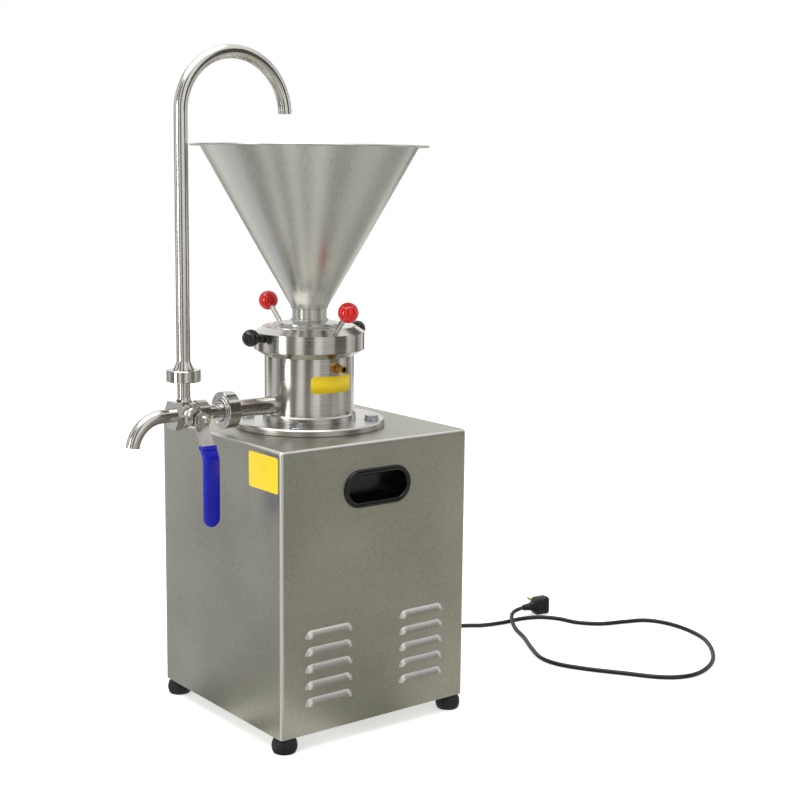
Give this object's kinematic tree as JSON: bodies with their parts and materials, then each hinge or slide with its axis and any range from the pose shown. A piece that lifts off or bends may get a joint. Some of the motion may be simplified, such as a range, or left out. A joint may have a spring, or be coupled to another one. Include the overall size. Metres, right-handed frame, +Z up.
{
  "type": "colloid mill",
  "caption": "Vertical colloid mill on a louvred steel cabinet, with a cone hopper, an adjustable grinding head, a three-way outlet valve with lever, and a return pipe",
  "frame": {"origin": "centre of the footprint of the machine, without its power lead, on the floor", "axes": "+Z up along the mill's axis, -Y towards the outlet, +X towards the side with the valve lever"},
  "size_m": [0.4482, 1.021, 0.9575],
  "materials": {
    "satin_steel_sheet": "satin ground stainless sheet",
    "polished_steel": "polished stainless",
    "machined_steel": "turned stainless",
    "plain_steel": "plain steel",
    "motor_iron": "satin grey-blue paint",
    "motor_core": "varnished laminations",
    "black_plastic": "satin black plastic",
    "black_rubber": "matt black rubber",
    "red_ball": "gloss red plastic",
    "blue_sleeve": "gloss blue vinyl",
    "white_seal": "white seal plastic",
    "brass": "plain brass",
    "capacitor_can": "off-white plastic can",
    "cord_jacket": "black cord jacket"
  },
  "bodies": {
    "frame": {"cabinet_shell": "satin_steel_sheet", "back_panel": "satin_steel_sheet", "panel_screws": "plain_steel", "base_plate": "satin_steel_sheet", "rubber_feet": "black_rubber", "foot_screws": "plain_steel", "right_handle": "black_plastic", "left_handle": "black_plastic", "switch_body": "black_plastic", "cable_gland": "black_plastic", "power_cord": "cord_jacket", "power_plug": "black_plastic", "plug_pins": "brass", "run_capacitor": "capacitor_can", "motor_flange": "motor_iron", "motor_housing": "motor_iron", "motor_stator": "motor_core", "motor_end_cover": "motor_iron", "motor_fan_cover": "plain_steel", "motor_bearings": "machined_steel", "base_flange": "polished_steel", "flange_bolts": "plain_steel", "mill_body": "polished_steel", "coolant_outlet_barb": "brass", "coolant_inlet_barb": "brass", "seal_seat": "black_plastic", "guide_pins": "machined_steel", "outlet_pipe": "polished_steel", "outlet_gasket": "white_seal", "outlet_union_nut": "polished_steel", "outlet_liner": "polished_steel", "valve_body": "polished_steel", "valve_end_nut": "polished_steel", "valve_seats": "white_seal", "packing_nut": "polished_steel", "discharge_spout": "polished_steel", "return_gasket": "white_seal", "return_union_nut": "polished_steel"},
    "spindle": {"drive_shaft": "machined_steel", "motor_rotor": "motor_core", "motor_fan": "black_plastic", "seal_head": "machined_steel", "grinding_rotor": "machined_steel", "rotor_nut": "machined_steel"},
    "adjuster": {"adjusting_ring": "polished_steel", "lever_rods": "polished_steel", "lever_knobs": "red_ball"},
    "stator": {"stator_carrier": "polished_steel", "grinding_stator": "machined_steel", "hopper_gasket": "white_seal", "hopper": "satin_steel_sheet"},
    "front_lock": {"front_lock_knob": "black_plastic"},
    "rear_lock": {"rear_lock_knob": "black_plastic"},
    "valve_lever": {"valve_ball": "machined_steel", "valve_stem": "machined_steel", "valve_lever": "machined_steel", "lever_grip": "blue_sleeve", "lever_nut": "polished_steel"},
    "return_pipe": {"return_pipe": "polished_steel"},
    "switch_rocker": {"switch_rocker": "black_plastic"}
  },
  "joints": [
    {"name": "spindle_spin", "type": "hinge", "parent": "frame", "child": "spindle", "pos_m": [0, 0.05366, 0.525], "axis": [0, 0, 1], "continuous": true},
    {"name": "adjuster_turn", "type": "hinge", "parent": "frame", "child": "adjuster", "pos_m": [0, 0.05366, 0.567], "axis": [0, 0, 1], "range_deg": [0, 180]},
    {"name": "stator_lift", "type": "slide", "parent": "frame", "child": "stator", "axis": [0, 0, 1], "range_m": [0, 0.0015]},
    {"name": "front_lock_turn", "type": "hinge", "parent": "adjuster", "child": "front_lock", "pos_m": [0, -0.02634, 0.552], "axis": [0, -0.9903, 0.1392], "range_deg": [-360, 360]},
    {"name": "rear_lock_turn", "type": "hinge", "parent": "adjuster", "child": "rear_lock", "pos_m": [-0.01389, 0.13244, 0.552], "axis": [-0.172, 0.9752, 0.1392], "range_deg": [-360, 360]},
    {"name": "valve_turn", "type": "hinge", "parent": "frame", "child": "valve_lever", "pos_m": [0, -0.15434, 0.456], "axis": [-1, 0, 0], "range_deg": [0, 90]},
    {"name": "return_swing", "type": "hinge", "parent": "frame", "child": "return_pipe", "pos_m": [0, -0.15434, 0.516], "axis": [0, 0, 1], "range_deg": [-120, 120]},
    {"name": "switch_rock", "type": "hinge", "parent": "frame", "child": "switch_rocker", "pos_m": [0.06, 0.21716, 0.352], "axis": [1, 0, 0], "range_deg": [-10, 10]}
  ],
  "couplings": [
    {"joint": "stator_lift", "follows": "adjuster_turn", "m_per_rad": 0.00047746}
  ]
}
